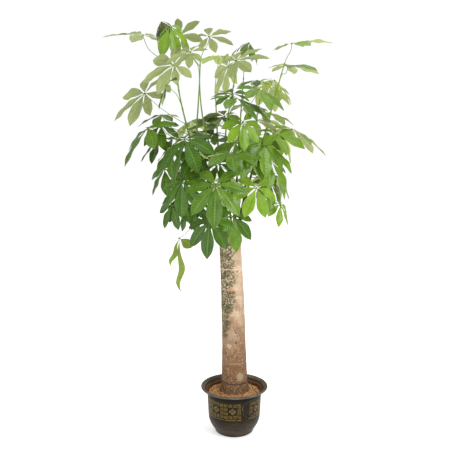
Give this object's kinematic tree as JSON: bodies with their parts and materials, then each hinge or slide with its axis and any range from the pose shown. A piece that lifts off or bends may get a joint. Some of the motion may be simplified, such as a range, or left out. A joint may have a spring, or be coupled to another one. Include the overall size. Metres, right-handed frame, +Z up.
{
  "type": "potted money tree",
  "caption": "Indoor tree with one thick bare trunk and a head of hand-shaped leaves on thin shoots, standing in soil in a flared round plastic floor pot with a decorated band.",
  "frame": {"origin": "middle of the flat underside of the pot, at floor level", "axes": "+Z up along the trunk, -Y towards the front, where the free end of the tie wire hangs over the lip, +X to the right as seen from the front"},
  "size_m": [1.01, 0.8146, 1.8818],
  "materials": {
    "pot_plastic": "satin",
    "potting_soil": "matte",
    "bark": "matte",
    "green_stem": "satin",
    "leaf_green": "satin",
    "tie_wire": "satin"
  },
  "bodies": {
    "root": {"pot": "pot_plastic", "soil": "potting_soil", "trunk": "bark", "trunk_tie": "tie_wire", "tie_tail": "tie_wire", "shoot_a": "green_stem", "shoot_b": "green_stem", "shoot_c": "green_stem", "shoot_d": "green_stem", "shoot_e": "green_stem", "shoot_f": "green_stem", "shoot_g": "green_stem", "shoot_h": "green_stem", "shoot_i": "green_stem", "leaf_01": "leaf_green", "leaf_02": "leaf_green", "leaf_03": "leaf_green", "leaf_04": "leaf_green", "leaf_05": "leaf_green", "leaf_06": "leaf_green", "leaf_07": "leaf_green", "leaf_08": "leaf_green", "leaf_09": "leaf_green", "leaf_10": "leaf_green", "leaf_11": "leaf_green", "leaf_12": "leaf_green", "leaf_13": "leaf_green", "leaf_14": "leaf_green", "leaf_15": "leaf_green", "leaf_16": "leaf_green", "leaf_17": "leaf_green", "leaf_18": "leaf_green", "leaf_19": "leaf_green", "leaf_20": "leaf_green", "leaf_21": "leaf_green", "leaf_22": "leaf_green", "leaf_23": "leaf_green", "leaf_24": "leaf_green", "leaf_25": "leaf_green", "leaf_26": "leaf_green", "leaf_27": "leaf_green", "leaf_28": "leaf_green", "leaf_29": "leaf_green", "leaf_30": "leaf_green", "leaf_31": "leaf_green", "leaf_32": "leaf_green", "leaf_33": "leaf_green", "leaf_34": "leaf_green", "leaf_35": "leaf_green", "leaf_36": "leaf_green", "leaf_37": "leaf_green", "leaf_38": "leaf_green", "leaf_39": "leaf_green", "leaf_40": "leaf_green", "leaf_41": "leaf_green", "leaf_42": "leaf_green", "leaf_43": "leaf_green", "leaf_44": "leaf_green", "leaf_45": "leaf_green", "leaf_46": "leaf_green"}
  },
  "joints": []
}
